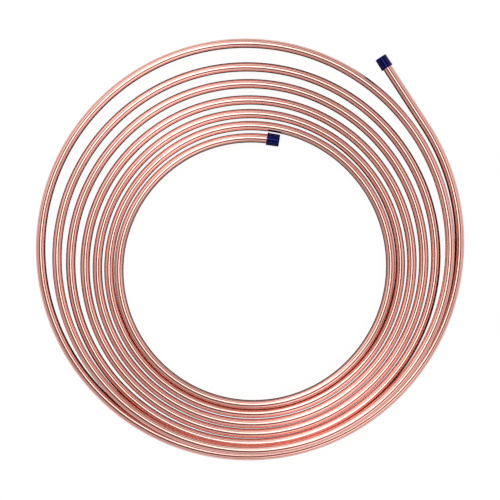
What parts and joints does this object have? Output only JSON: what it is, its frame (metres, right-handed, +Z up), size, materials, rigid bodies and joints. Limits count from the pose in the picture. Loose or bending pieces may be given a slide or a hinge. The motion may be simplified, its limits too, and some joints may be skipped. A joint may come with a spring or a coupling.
{
  "type": "coil of brake line tubing",
  "caption": "Flat open coil of round copper-nickel brake line tube, fanned on one side and bunched on the other, with a push-on plastic cap closing each end.",
  "frame": {"origin": "on the floor that the coil lies on, below the middle of its outline", "axes": "+Z up out of the flat coil, +Y towards the side where the turns fan out, +X towards the loose outer end"},
  "size_m": [0.4338, 0.4272, 0.0182],
  "materials": {
    "copper_nickel": "bright drawn copper-nickel",
    "cap_plastic": "satin moulded plastic"
  },
  "bodies": {
    "root": {"tube": "copper_nickel", "inner_end_cap": "cap_plastic", "outer_end_cap": "cap_plastic"}
  },
  "joints": []
}
